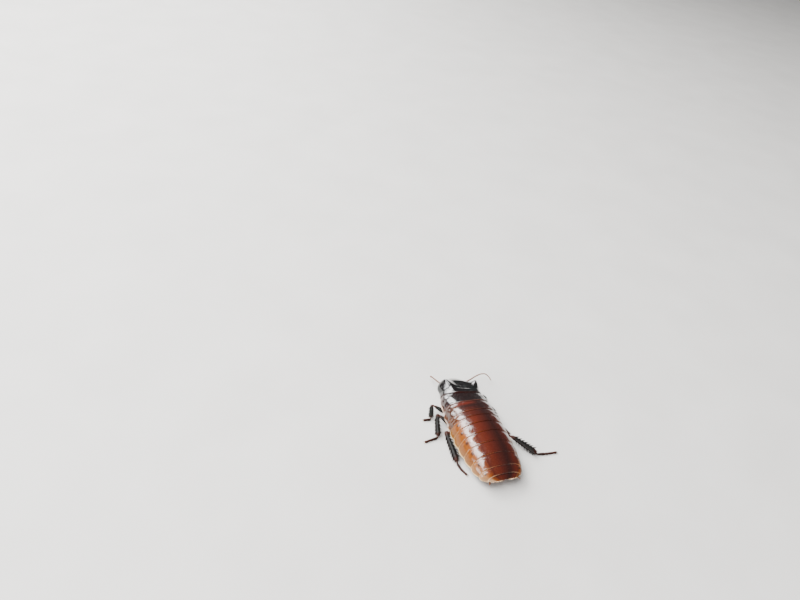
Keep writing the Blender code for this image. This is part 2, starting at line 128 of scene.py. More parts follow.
# The limbs: the places of a leg's base, hip, knee and ankle, and two of its foot. A claw has places ahead of its
# root, out from it and up, a thorn its size by the share of its length.
LEGS = {
    "fore_left": [(-4.2, 18.0, 4.0), (-8.6, 11.9, 3.3), (-14.7, 16.5, 5.4), (-16.3, 12.5, 1.5),
                  (-17.6, 12.4, 0.5), (-19.8, 12.6, 0.5)],
    "fore_right": [(4.2, 18.0, 4.0), (7.8, 12.4, 3.3), (11.6, 18.0, 4.9), (12.9, 14.6, 1.5),
                   (13.2, 16.8, 0.5), (13.5, 19.8, 0.5)],
    "mid_left": [(-4.0, 12.6, 3.9), (-8.2, 3.9, 3.2), (-14.2, 10.7, 5.5), (-16.6, 2.1, 1.5),
                 (-20.2, 1.2, 0.5), (-23.2, 0.7, 0.5)],
    "mid_right": [(4.0, 12.6, 3.9), (7.2, 4.6, 3.2), (12.7, 10.4, 4.9), (13.8, 2.4, 1.5),
                  (16.3, 0.6, 0.5), (17.7, -2.6, 0.5)],
    "hind_left": [(-2.7, 5.0, 3.6), (-4.8, -3.2, 2.8), (-13.1, 1.6, 4.2), (-13.0, -12.4, 1.5),
                  (-12.3, -16.0, 0.5), (-10.8, -19.2, 0.5)],
    "hind_right": [(2.7, 5.0, 3.6), (7.9, -0.4, 2.6), (15.5, -7.0, 4.5), (24.9, -15.8, 1.5),
                   (30.6, -16.7, 0.5), (35.2, -16.9, 0.5)],
}
LEG_SIZE = {"fore": 0.85, "mid": 1.0, "hind": 1.15}
COXA_WIDTH = 1.7
COXA_DEPTH = 1.05
FEMUR_WIDTH = 1.25
FEMUR_DEPTH = 1.0
TIBIA_RADIUS = 1.05
FOOT_RADIUS = 0.5
FOOT_JOINTS = [0.0, 0.36, 0.52, 0.65, 0.76, 1.0]
CLAW = [(-0.2, 0.0, 0.0), (0.3, 0.22, 0.12), (0.66, 0.36, -0.1), (0.78, 0.36, -0.38)]
SOCKET_RISE = np.array([0.0, 0.0, 1.1])
SPINE_ROWS = {"fore": 4, "mid": 5, "hind": 7}
SPINE_LENGTH = 1.5
THORN = [(0.0, 1.25), (0.1, 1.3), (0.16, 1.15), (0.2, 0.9), (0.4, 0.8), (0.6, 0.62), (0.8, 0.4), (0.93, 0.2),
         (1.0, 0.05)]
THORN_BOW = 0.06
ANTENNAE = {
    "antenna_left": [(-1.9, 26.2, 6.6), (-3.7, 27.1, 5.8), (-6.2, 28.6, 5.3), (-8.4, 31.6, 5.6),
                     (-9.4, 33.8, 5.4), (-8.9, 35.4, 3.6), (-7.8, 36.4, 1.6)],
    "antenna_right": [(1.9, 26.2, 6.6), (3.8, 26.8, 5.8), (6.7, 27.6, 5.2), (9.4, 28.7, 5.0), (12.7, 30.1, 5.1),
                      (15.8, 30.9, 5.4), (18.4, 30.6, 5.4), (20.0, 29.2, 4.6), (20.9, 27.6, 3.4)],
}
ANTENNA_RADIUS = 0.42
ANTENNA_JOINTS = 105
STEPS_A_JOINT = 6
PALP = [(1.9, 24.2, 3.0), (2.9, 25.6, 2.4), (3.0, 26.6, 1.6), (2.4, 27.2, 0.9)]
PALP_JOINTS = 4
CERCUS = [(5.6, -25.6, 3.9), (7.4, -28.4, 4.7)]
CERCUS_RINGS = 9

# Where the body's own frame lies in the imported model: the mouthparts are symmetric about the body's middle
JAW_LOW, JAW_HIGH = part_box("mouthparts")
JAW_Y = NOSE_Y - HEAD_S - 0.55
ORIGIN = np.array([(JAW_LOW[0] + JAW_HIGH[0]) / 2, (JAW_LOW[1] + JAW_HIGH[1]) / 2 - JAW_Y * MM, 0.0])

# The camera: direction of sight, and where the body's centre shows in the image
AZIMUTH = -37.5
ELEVATION = 49.3
ROLL = -19.1
DISTANCE = 280.4
BODY_CENTRE = (0.0, 0.0, 7.0)
BODY_CENTRE_PIXEL = (475.7, 426.2)
FOCAL_PIXELS = 600.0
SENSOR = 36.0
NEAREST = 0.005

# The lights in metres: each strip has two directions, a width in degrees and a share of the radiance
LIGHT_DISTANCE = 1.3
STRIP_RADIANCE = 28.0
STRIPS = {
    "left_front_strip": ((-0.22, 0.78, 0.58), (-0.60, 0.36, 0.70), 22, 1.0),
    "left_top_strip": ((-0.61, 0.33, 0.71), (-0.26, -0.33, 0.91), 24, 1.0),
    "left_low_strip": ((-0.36, 0.83, 0.42), (-0.74, 0.56, 0.37), 12, 0.6),
    "left_rear_strip": ((-0.95, -0.14, 0.24), (-0.74, -0.46, 0.50), 16, 0.8),
    "horn_strip": ((-0.20, 0.54, 0.82), (-0.08, 0.60, 0.80), 9, 0.8),
    "brow_strip": ((-0.15, 0.96, 0.22), (0.25, 0.93, 0.26), 10, 0.5),
}
ROOM_LIGHT = 0.18
ROOM_COLOUR = "#dfe2e6"
FLOOR_HALF = 3.0


# Shapes

def curve(table, s):
    """Smooth values through the pairs of a table, for an array or a number."""
    keys, values = np.array(table, float).T
    slopes = np.empty(len(keys))
    slopes[1:-1] = (values[2:] - values[:-2]) / (keys[2:] - keys[:-2])
    slopes[0] = (values[1] - values[0]) / (keys[1] - keys[0])
    slopes[-1] = (values[-1] - values[-2]) / (keys[-1] - keys[-2])
    s = np.clip(np.asarray(s, float), keys[0], keys[-1])
    i = np.clip(np.searchsorted(keys, s, side="right") - 1, 0, len(keys) - 2)
    span = keys[i + 1] - keys[i]
    t = (s - keys[i]) / span
    return ((2 * t**3 - 3 * t**2 + 1) * values[i] + (t**3 - 2 * t**2 + t) * span * slopes[i]
            + (3 * t**2 - 2 * t**3) * values[i + 1] + (t**3 - t**2) * span * slopes[i + 1])


def hump(x, middle, width, power=2):
    """A smooth hump of height 1 about a middle, flatter on top with a higher power."""
    return np.exp(-((x - middle) / width) ** power)


def rising(x, start, reach):
    """From 0 at the start to 1 at the end of the reach, and held there."""
    return np.clip((x - start) / reach, 0, 1)


def turns(count):
    """Angles in equal steps round a full turn."""
    return np.linspace(0, 2 * math.pi, count, endpoint=False)


def column(count):
    """Equal steps from 0 to 1, one for each row of a sheet."""
    return np.linspace(0, 1, count)[:, None]


def unit(vectors):
    """The same direction with length 1, for one vector or rows of them."""
    return vectors / np.linalg.norm(vectors, axis=-1, keepdims=True)


def share_across(angle):
    """How far out the trunk's outline is at an angle: 1 at the right edge, -1 at the left."""
    return np.sign(np.cos(angle)) * np.abs(np.cos(angle)) ** SQUARENESS


def section(s, angle, inset, under=None):
    """Points of the trunk's surface for arrays of s and angle, drawn in by the inset, or by under from below."""
    s, angle, inset = np.broadcast_arrays(np.asarray(s, float), angle, inset)
    under = inset if under is None else under
    q = np.sin(angle)
    across = share_across(angle)
    margin = curve(MARGIN_HEIGHT, s) + under
    top = curve(TOP_HEIGHT, s) - inset
    belly = curve(BELLY_HEIGHT, s) + under
    over = margin + (top - margin) * np.abs(q) ** 0.85
    below = margin - (margin - belly) * np.abs(q) ** 2.2
    x = across * (curve(HALF_WIDTH, s) - inset)
    back = curve(SWEEP_BACK, s) * across**2 + curve(FRONT_TURN, s) * x
    bend = TAIL_BEND * (np.clip(s - BEND_START, 0, None) / (TAIL_END - BEND_START)) ** 2
    height = np.where(q >= 0, over, below) - curve(FRONT_ROLL, s) * x
    return np.stack([x + bend, NOSE_Y - s - back, height], -1)


def placed(name, data):
    """A new object in the scene with this mesh, light or camera."""
    thing = bpy.data.objects.new(name, data)
    bpy.context.scene.collection.objects.link(thing)
    return thing


class Heap:
    """Gathers surfaces in millimetres into one mesh, with marks that the materials read."""

    def __init__(self):
        self.points = []
        self.faces = []
        self.marks = {}
        self.count = 0

    def add(self, points, faces, marks):
        """Adds points and faces; a mark is one number, or one for each point."""
        points = np.asarray(points, float).reshape(-1, 3)
        self.points.append(points)
        self.faces.extend((np.asarray(faces) + self.count).tolist())
        for name, values in marks.items():
            values = np.broadcast_to(np.asarray(values, float).reshape(-1), (len(points),))
            self.marks.setdefault(name, []).append((self.count, values))
        self.count += len(points)

    def band(self, points, marks):
        """Quads between closed rings of points; a mark is spread over the rings and their points."""
        shape = points.shape[:2]
        index = np.arange(shape[0] * shape[1]).reshape(shape)
        beside = np.roll(index, -1, 1)
        quads = np.stack([index[:-1], beside[:-1], beside[1:], index[1:]], -1).reshape(-1, 4)
        self.add(points, quads, {name: np.broadcast_to(values, shape) for name, values in marks.items()})

    def tube(self, points, marks=None):
        """A closed tube through rings of points."""
        first = self.count
        self.band(points, marks or {})
        rows, columns = points.shape[:2]
        last = first + (rows - 1) * columns
        self.faces.append(list(range(first + columns - 1, first - 1, -1)))
        self.faces.append(list(range(last, last + columns)))

    def shell(self, outer, inner, marks):
        """A closed plate between an outer and an inner sheet of the same rows and columns."""
        first = self.count
        rows, columns = outer.shape[:2]
        both = {}
        for name, values in marks.items():
            values = np.broadcast_to(values, (rows, columns))
            both[name] = np.concatenate([values[:, ::-1], values], 1)
        self.band(np.concatenate([outer[:, ::-1], inner], 1), both)
        width = 2 * columns
        for row, flip in ((0, False), (rows - 1, True)):
            start = first + row * width
            for i in range(columns - 1):
                face = [start + i, start + width - 1 - i, start + width - 2 - i, start + i + 1]
                self.faces.append(face[::-1] if flip else face)

    def plate(self, s, angle, depth, thickness, marks):
        """A closed plate that lies in the trunk's surface at a depth."""
        self.shell(section(s, angle, depth), section(s, angle, depth + thickness), marks)

    def piece(self, name, material, slot, *nodes):
        """Makes the object, lets it ride on the root and takes the place of its nodes."""
        mesh = bpy.data.meshes.new(name)
        points = np.concatenate(self.points) * MM + ORIGIN
        mesh.from_pydata(points.tolist(), [], self.faces)
        for mark, parts in self.marks.items():
            values = np.zeros(self.count)
            for start, part in parts:
                values[start:start + len(part)] = part
            mesh.attributes.new(mark, "FLOAT", "POINT").data.foreach_set("value", values)
        mesh.polygons.foreach_set("use_smooth", [True] * len(mesh.polygons))
        mesh.validate()
        mesh.update()
        mesh.materials.append(material)
        thing = placed(name, mesh)
        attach(thing, "root")
        if nodes:
            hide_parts(*nodes)


# Materials

def linear(hex_colour):
    """A colour as the shader reads it, from its sRGB hex form."""
    channels = [int(hex_colour[i:i + 2], 16) / 255 for i in (1, 3, 5)]
    return tuple(c / 12.92 if c <= 0.04045 else ((c + 0.055) / 1.055) ** 2.4 for c in channels) + (1.0,)


def scale_for(size_mm):
    """The scale of a texture whose features are this many millimetres across."""
    return 1.0 / (size_mm * MM)


class Coat:
    """A material in the making, with its shader and a coordinate that stays on the object."""

    def __init__(self, name):
        self.material = bpy.data.materials.new(name)
        self.material.use_nodes = True
        self.tree = self.material.node_tree
        self.shader = self.tree.nodes["Principled BSDF"]
        self.place = self.add("ShaderNodeTexCoord").outputs["Object"]

    def feed(self, socket, value):
        """Joins an output to a socket, or sets the socket to a number or a hex colour."""
        if isinstance(value, bpy.types.NodeSocket):
            self.tree.links.new(value, socket)
        else:
            socket.default_value = linear(value) if isinstance(value, str) else value

    def add(self, kind, inputs=None, **settings):
        """Adds a node with its settings and inputs."""
        made = self.tree.nodes.new(kind)
        for name, setting in settings.items():
            setattr(made, name, setting)
        for name, value in (inputs or {}).items():
            self.feed(made.inputs[name], value)
        return made

    def mark(self, name):
        """A mark that the heap has written on the mesh."""
        return self.add("ShaderNodeAttribute", attribute_name=name).outputs["Fac"]

    def noise(self, size_mm, detail, place=None, roughness=0.5):
        """Cloudy noise with features of this size."""
        return self.add("ShaderNodeTexNoise", {
            "Vector": self.place if place is None else place, "Scale": scale_for(size_mm), "Detail": detail,
            "Roughness": roughness}).outputs["Fac"]

    def cells(self, size_mm, randomness):
        """The distance from the middle of cells of this size."""
        return self.add("ShaderNodeTexVoronoi", {
            "Vector": self.place, "Scale": scale_for(size_mm), "Randomness": randomness}).outputs["Distance"]

    def maths(self, operation, *numbers):
        """The result of a sum on numbers and outputs."""
        return self.add("ShaderNodeMath", dict(enumerate(numbers)), operation=operation).outputs[0]

    def ranged(self, amount, low, high, to_low, to_high):
        """A number moved from one range to another and held inside it."""
        return self.add("ShaderNodeMapRange", {
            "Value": amount, "From Min": low, "From Max": high, "To Min": to_low, "To Max": to_high,
        }, interpolation_type="SMOOTHSTEP").outputs["Result"]

    def ramp(self, amount, stops):
        """A colour ramp from pairs of place and hex colour."""
        made = self.add("ShaderNodeValToRGB", {"Fac": amount})
        entries = made.color_ramp.elements
        while len(entries) < len(stops):
            entries.new(0.5)
        for entry, (place, colour) in zip(entries, stops):
            entry.position = place
            entry.color = linear(colour)
        return made.outputs["Color"]

    def layered(self, ground, *layers):
        """Colours laid over a ground, each a pair of amount and colour."""
        for amount, colour in layers:
            ground = self.add("ShaderNodeMix", {"Factor": amount, 6: ground, 7: colour},
                              data_type="RGBA").outputs[2]
        return ground

    def finish(self, sockets, heights=()):
        """Sets the shader and lays the bumps over each other, each a height and its depth in millimetres."""
        normal = {}
        for height, depth_mm in heights:
            bump = self.add("ShaderNodeBump", {"Height": height, "Strength": 1.0, "Distance": depth_mm * MM,
                                               **normal})
            normal = {"Normal": bump.outputs["Normal"]}
        for name, value in {**sockets, **normal}.items():
            self.feed(self.shader.inputs[name], value)
        return self.material


def hard_black_cuticle():
    """Tanned cuticle of the shield: nearly black and polished, finely pitted, warmer at its edges, with a cold
    green tint in patches that is a painted sheen.
    """
    coat = Coat("tanned cuticle, polished black")
    fine = coat.noise(0.35, 4.0)
    dents = coat.ranged(coat.cells(0.42, 0.9), 0.0, 0.35, 0.0, 1.0)
    # The teal stop tints patches of the black a cold green: a painted sheen.
    ground = coat.ramp(coat.noise(3.2, 5.0), [(0.3, "#080606"), (0.52, "#0c0a0a"), (0.75, "#0f1514")])
    return coat.finish({
        "Base Color": coat.layered(ground, (coat.mark("edge"), "#34140f")),
        "Roughness": coat.ranged(fine, 0.3, 0.7, 0.13, 0.24),
        "Specular IOR Level": 0.35, "IOR": 1.57, "Coat Weight": 0.9, "Coat Roughness": 0.06,
    }, [(coat.noise(1.3, 3.0), 0.14), (dents, 0.01), (fine, 0.006)])


def banded_cuticle():
    """Tanned cuticle of the back plates: waxy mahogany, tan on the flanks, darker in front and at the rear, and
    dark in the middle of the back, partly its own colour and partly painted shade set right of the top.
    """
    coat = Coat("tanned cuticle, mahogany with tan flanks")
    across = coat.mark("across")
    along = coat.mark("along")
    thorax = coat.mark("thorax")
    cloud = coat.noise(2.6, 5.0)
    stretched = coat.add("ShaderNodeMapping", {"Vector": coat.place, "Scale": (4.0, 0.6, 4.0)})
    grain = coat.noise(1.4, 5.0, stretched.outputs["Vector"], 0.6)
    fine = coat.noise(0.4, 4.0)
    dents = coat.ranged(coat.cells(0.5, 1.0), 0.0, 0.4, 0.0, 1.0)
    shifted = coat.maths("MULTIPLY_ADD", coat.maths("SUBTRACT", cloud, 0.5), 0.06, across)
    # The darkest stops at the low end darken the middle of the back, which the shifted across mark sets right of
    # the top: partly the back's own colour, partly painted shade on the right side.
    back = coat.ramp(shifted, [
        (0.0, "#1c0a08"), (0.08, "#240c08"), (0.16, "#2f0f09"), (0.23, "#3a1209"), (0.3, "#40160a"),
        (0.36, "#38130a"), (0.42, "#55260c"), (0.48, "#68350e"), (0.66, "#5e340b"), (0.77, "#6e4518"),
        (0.795, "#d2b684"), (0.84, "#b98f58"), (0.92, "#7d5226")])
    chest = coat.ramp(shifted, [
        (0.0, "#0d0808"), (0.46, "#0c0707"), (0.56, "#150c0b"), (0.66, "#1f1311"), (0.765, "#44291f"),
        (0.79, "#dcc0aa"), (0.84, "#9a6a55"), (0.92, "#5c372a")])
    rim = coat.ramp(across, [(0.0, "#2c100a"), (0.16, "#431a0c"), (0.34, "#6b3412"), (0.72, "#a8763c"),
                             (0.8, "#ecd2a2")])
    colour = coat.layered(
        back,
        (thorax, chest),
        (coat.ranged(grain, 0.42, 0.72, 0.0, 0.4), "#260c08"),
        (coat.ranged(along, 0.0, 0.2, 0.18, 0.0), "#210b08"),
        (coat.ranged(along, 0.88, 0.94, 0.0, 0.18), "#1c0b09"),
        (coat.ranged(along, 0.955, 0.985, 0.0, 0.8), coat.layered(rim, (thorax, "#55352c"))),
        (coat.mark("pale"), "#d9b48c"),
        (coat.mark("red"), "#48160d"),
        (coat.mark("spot"), "#180a08"))
    return coat.finish({
        "Base Color": colour,
        "Roughness": coat.ranged(fine, 0.3, 0.7, 0.17, 0.28),
        "Coat Weight": coat.maths("MAXIMUM", coat.ranged(across, 0.42, 0.52, 0.9, 0.2), thorax),
        "Specular IOR Level": 0.24, "IOR": 1.57, "Coat Roughness": 0.08,
    }, [(grain, 0.02), (cloud, 0.15), (dents, 0.007), (fine, 0.006)])


def belly_cuticle():
    """Thinner cuticle of the underside plates: red-brown and waxy, darker to the sides and the rear edge."""
    coat = Coat("thin cuticle, red-brown")
    cloud = coat.noise(1.8, 5.0)
    ground = coat.ramp(coat.mark("across"), [(0.0, "#8f4f2a"), (0.5, "#7a3a20"), (0.85, "#5c2818"),
                                             (1.0, "#3a1a12")])
    rear = coat.ranged(coat.mark("along"), 0.85, 0.97, 0.0, 0.8)
    clouded = coat.ranged(cloud, 0.45, 0.75, 0.0, 0.4)
    return coat.finish({
        "Base Color": coat.layered(ground, (rear, "#2a100b"), (clouded, "#3b1810")),
        "Roughness": coat.ranged(cloud, 0.3, 0.7, 0.24, 0.38),
        "IOR": 1.55, "Coat Weight": 0.2, "Coat Roughness": 0.15,
    }, [(cloud, 0.1)])


def soft_membrane():
    """Untanned membrane between the plates: pale, folded skin with a dull wet look, darker in the troughs of its
    folds as painted shade.
    """
    coat = Coat("untanned membrane, pale and folded")
    folds = coat.add("ShaderNodeTexWave", {
        "Vector": coat.place, "Scale": scale_for(2.4), "Distortion": 3.0, "Detail": 3.0,
    }, bands_direction="Y").outputs["Fac"]
    cloud = coat.noise(1.5, 4.0)
    ground = coat.ramp(cloud, [(0.3, "#8a6242"), (0.6, "#b08a62"), (0.8, "#c9a880")])
    # The troughs of the folds are darkened: painted shade in the creases.
    return coat.finish({
        "Base Color": coat.layered(ground, (coat.ranged(folds, 0.0, 0.5, 0.55, 0.0), "#4a2c1c")),
        "Roughness": 0.45, "Subsurface Weight": 0.15, "Subsurface Radius": (0.001, 0.0005, 0.0003),
    }, [(folds, 0.12), (cloud, 0.05)])


def limb_cuticle():
    """Tanned cuticle of the legs and head: brown-black and smooth, redder towards joints, spine tips and feet,
    with faint green patches that are a painted sheen.
    """
    coat = Coat("tanned cuticle, brown-black")
    cloud = coat.noise(1.2, 5.0)
    fine = coat.noise(0.22, 3.0)
    # The greenish stop tints patches of the black: a painted sheen.
    ground = coat.ramp(cloud, [(0.3, "#080707"), (0.5, "#0e0c0b"), (0.7, "#161a17")])
    return coat.finish({
        "Base Color": coat.layered(ground, (coat.mark("tip"), "#3d1b11")),
        "Roughness": coat.ranged(fine, 0.3, 0.7, 0.4, 0.58), "Specular IOR Level": 0.12,
    }, [(cloud, 0.05), (fine, 0.012)])


def feeler_cuticle():
    """Thin cuticle of the feelers and palps: brown and dull, paler towards the tip, with dark rings."""
    coat = Coat("thin cuticle, dull brown")
    cloud = coat.noise(0.6, 4.0)
    ground = coat.ramp(cloud, [(0.3, "#26130d"), (0.7, "#44241a")])
    return coat.finish({
        "Base Color": coat.layered(ground, (coat.mark("tip"), "#7d4e31"), (coat.mark("ring"), "#1a0d0a")),
        "Roughness": 0.5,
    }, [(cloud, 0.02)])


def compound_eye():
    """Compound eye: black and glassy over a fine honeycomb, drawn at 0.12 mm, coarser than the real 0.03 mm."""
    coat = Coat("corneal lenses, black")
    cells = coat.cells(0.12, 0.15)
    return coat.finish({
        "Base Color": coat.ramp(cells, [(0.0, "#17120f"), (0.6, "#070606")]),
        "Roughness": 0.16, "IOR": 1.5, "Coat Weight": 0.6, "Coat Roughness": 0.05,
    }, [(coat.ranged(cells, 0.0, 0.6, 1.0, 0.0), 0.02)])


def pale_pad():
    """Soft pads under the feet and the small light-eyes: cream and slightly translucent."""
    coat = Coat("soft cuticle, cream")
    cloud = coat.noise(0.5, 3.0)
    return coat.finish({
        "Base Color": coat.ramp(cloud, [(0.3, "#b79a70"), (0.7, "#dcc79c")]),
        "Roughness": 0.4, "Subsurface Weight": 0.2, "Subsurface Radius": (0.0008, 0.0005, 0.0003),
    }, [(cloud, 0.03)])


def pale_board():
    """Matt painted board of the floor, with a faint cloud in its grey."""
    coat = Coat("matt painted board, pale grey")
    colour = coat.ramp(coat.noise(40.0, 3.0), [(0.3, "#b0aeab"), (0.7, "#b6b4b1")])
    return coat.finish({"Base Color": colour, "Roughness": 0.75})


# The trunk

def plate_marks(share, angle, thorax, spots=(0.0, 0.0), red=0.0, pale=0.0):
    """What the banded cuticle reads: the place across (0.8 at the margin), shifted so that the dark middle of the
    back lies right of the top as painted shade, and along, the look of the chest, the dark spots of the flank and
    the saddle, the red band of the left shoulder and the pale rear edge, which fades towards the right side as
    painted shade."""
    side = np.abs(1 - 2 * angle / math.pi)
    # Painted shade: this shift moves the darkest colour of the back right of the top, so the right side reads as
    # lying in shade.
    shade_shift_right = 0.22 * hump(angle, math.pi / 2, 0.8)
    across = 0.8 * np.abs(1 - 2 * angle / math.pi - shade_shift_right)
    along = np.clip(share, 0, 1)
    flank = hump(side, 0.6, 0.048, 4) * hump(along, 0.42, 0.14, 4)
    saddle = hump(along, 0.52, 0.16) * hump(side, 0, 0.4, 4)
    darker = 0.4 * (thorax > 0) * rising(side, 0.4, 0.2)
    band = hump(along, 0.2, 0.13) * hump(angle, 1.9, 0.42, 4)
    edge = rising(along, 0.93, 0.05) * rising(side, 0.12, 0.3)
    # The pale wash of the lower flank is strong on the left and gone on the right: partly the flank's own paler
    # colour, partly painted light on the left and painted shade on the right.
    edge = edge + 0.4 * rising(side, 0.5, 0.15) * np.clip(angle / math.pi, 0, 1) ** 2
    return {"across": across, "along": along, "thorax": np.clip(thorax + darker, 0, 1),
            "spot": np.clip(spots[0] * flank + spots[1] * saddle, 0, 1), "red": red * band,
            "pale": np.clip(pale * edge, 0, 1)}


def lengthwise(start, end, u):
    """Rows of s for a plate that starts under the one before it, and their share of its open length."""
    first = start - OVERHANG + GAP
    s = first + u * (end - first)
    return s, (s - start) / (end - start)


def over_the_back(fold, count):
    """Angles from the right edge over the back to the left one, and on by the fold at both ends."""
    return np.linspace(-fold, math.pi + fold, count)[None, :]


def under_the_belly(margin):
    """Angles across the underside, short of its edges by a margin in degrees."""
    low = math.radians(margin)
    return np.linspace(math.pi + low, 2 * math.pi - low, 80)[None, :]


def back_plate(number, start, end, material):
    """One plate of the back: tucked under the plate before it, with a thin rear edge and rounded side lobes."""
    chest = CHEST_LOOK.get(number, 0.0)
    saddled = number == SADDLED_PLATE
    u = column(56) ** 0.85
    angle = over_the_back(PLATE_FOLD, 190)
    width = np.abs(share_across(angle))
    s, share = lengthwise(start, end, u)
    along = np.clip(share, 0, 1)
    corner = 0.5 * width**8 * along**2
    bulge = 0.34 * width**12 * np.sin(math.pi * along**0.8)
    swell = 0.14 * np.sin(math.pi * along) * rising(width, 0.45, 0.2)
    crease = 0.1 * hump(share, 0.16 + 0.2 * (width - 0.6), 0.05) * rising(width, 0.5, 0.15)
    roll = 0.1 * rising(u, 0.96, 0.04) ** 2
    rib = 0.04 * hump(u, 0.93, 0.025)
    ragged = 0.015 * np.sin(angle * 97) * rising(u, 0.9, 0.1)
    waves = (0.09 * np.sin(17 * angle + 6 * share + 0.7 * start)
             + 0.08 * np.sin(12 * share - 8 * angle + start))
    wrinkles = (chest > 0) * waves * rising(width, 0.6, 0.15) * rising(share, 0, 0.15)
    depth = curve(TUCK, share) + roll + crease + wrinkles - rib - bulge - swell
    # The pale rear edge is the plate's own colour; its fading towards the right edge by angle / pi is painted
    # shade.
    marks = plate_marks(share, angle, chest, (0.0 if chest else SPOT_STRENGTH, SPOT_STRENGTH * saddled),
                        0.7 * saddled, PALE_EDGES.get(number, 0.0) * np.clip(angle / math.pi, 0.2, 1))
    heap = Heap()
    heap.plate(s + corner + ragged, angle, depth, PLATE_DEPTH - EDGE_THINNING * u, marks)
    heap.piece("back_plate_%d" % number, material, "black_shell" if chest > 0.4 else "brown_shell",
               PLATE_NODES[number - 1])


def belly_plate(number, start, end, material):
    """One plate of the underside."""
    u = column(22)
    angle = under_the_belly(30)
    s, share = lengthwise(start, end, u)
    roll = 0.12 * rising(u, 0.94, 0.06) ** 2
    heap = Heap()
    heap.plate(s, angle, 0.12 + curve(TUCK, share) * 0.7 + roll, UNDERSIDE_DEPTH - roll,
               {"across": np.abs(np.cos(angle)), "along": np.clip(share, 0, 1)})
    heap.piece("belly_plate_%d" % number, material, "brown_shell")


def plates(back_material, belly_material):
    """The nine plates of the back, and those of the underside from the abdomen's second on."""
    start = PRONOTUM_END
    for number, end in enumerate(PLATE_ENDS, 1):
        back_plate(number, start, end, back_material)
        if number >= FIRST_BELLY_PLATE:
            belly_plate(number - 2, start, end, belly_material)
        start = end


def horned(points):
    """Raises the two blunt horns of the male's shield, out, forward and up."""
    x = points[..., 0]
    s = NOSE_Y - points[..., 1]
    rise = 0.0
    lean = 0.0
    for side in (-1, 1):
        turned = s - 0.12 * side * HORN_X[side] - HORN_S
        beside = side * x - HORN_X[side] + CREST_TURN[side] * turned
        across = beside / np.where(beside > 0, HORN_SPREAD, HORN_INSIDE[side])
        away = across**2 + (turned / np.where(turned > 0, HORN_BEHIND[side], HORN_SPREAD)) ** 2
        bump = HORN_HEIGHT * (0.82 * np.exp(-away) + 0.3 * np.exp(-away * 3.5))
        rise = rise + bump
        lean = lean + side * bump
    return points + np.stack([0.35 * lean, 0.3 * rise, rise], -1)


def shield(material):
    """The pronotum: domed, horned, with a thin rim all round and a shallow groove behind the horns."""
    u = column(96)
    angle = over_the_back(0.12, 190)
    s = PRONOTUM_END * u**1.15
    across = share_across(angle)
    height = np.sin(np.clip(angle, 0, math.pi))
    groove = 0.34 * hump(s, 8.2 + 0.9 * across**2, 0.55) * (0.35 + 0.65 * np.abs(across)) * height**0.3
    valley = 0.6 * hump(across, 0.12, 0.34) * hump(s, 5.2, 2.4) * height
    middle = 0.1 * hump(across, 0, 0.02) * hump(s, 9.5, 3.0, 4)
    rim = 0.12 * hump(s, 0.25, 0.25) + 0.14 * hump(np.abs(across), 0.99, 0.012)
    lip = 0.07 * hump(u, 0.965, 0.012)
    roll = 0.14 * rising(u, 0.985, 0.015) ** 2
    outer = horned(section(s, angle, groove + valley + middle + roll - rim - lip))
    inner = section(np.clip(s, 0.35, PRONOTUM_END), angle, SHIELD_DEPTH)
    inner = np.where((s < 6)[..., None], horned(inner), inner)
    heap = Heap()
    heap.shell(outer, inner, {"edge": np.clip(hump(s, 0.1, 0.3) + hump(u, 1.0, 0.012), 0, 1)})
    heap.piece("shield", material, "black_shell", "pronotum")


def membrane(material):
    """The one skin under all the plates, from the neck to the tail, pleated along the sides."""
    s = np.concatenate([np.linspace(4.8, 7.0, 12), np.linspace(7.2, TAIL_END - 1.6, 220)])[:, None]
    angle = turns(120)
    neck = np.clip((7.0 - s) / 2.2, 0, 1) ** 1.5
    pleat = 0.1 * np.sin(s * 2 * math.pi / 0.9) * np.abs(np.cos(angle)) ** 4
    heap = Heap()
    heap.tube(section(s, -angle, 1.2 + 3.2 * neck + pleat, 0.75 + 1.2 * neck + pleat))
    heap.piece("membrane", material, "tan_shell", "prothorax")


def chest_plates(material):
    """Three hard plates on the underside of the chest, between the legs."""
    heap = Heap()
    u = column(26)
    v = np.linspace(-1, 1, 36)[None, :]
    for middle, length, spread in CHEST_PLATES:
        taper = np.sqrt(np.clip(1 - (2 * u - 1) ** 4, 0.02, 1)) * (1 - 0.35 * u)
        angle = 1.5 * math.pi + math.radians(spread) * v * taper
        s = middle + length * (u - 0.5)
        depth = 0.5 + 0.12 * rising(np.abs(v), 0.85, 0.15) ** 2
        heap.plate(s, angle, depth, UNDERSIDE_DEPTH, {"across": np.abs(v), "along": 0.2 + 0.6 * u})
    heap.piece("chest_plates", material, "brown_shell")


def spiracles(material):
    """The breathing holes, small dark rims along both sides of the abdomen's underside."""
    heap = Heap()
    turn = turns(16)
    for start, end in zip(PLATE_ENDS[1:-1], PLATE_ENDS[2:]):
        s = start + 0.35 * (end - start)
        for side in (-1, 1):
            angle = 1.5 * math.pi + side * math.radians(56)
            rows = [section(s + size * np.sin(turn), angle + 0.75 * size * np.cos(turn) / 9, depth)
                    for size, depth in SPIRACLE]
            heap.tube(np.stack(rows)[:, ::-1], {"tip": 0.4})
    heap.piece("spiracles", material, "brown_shell")


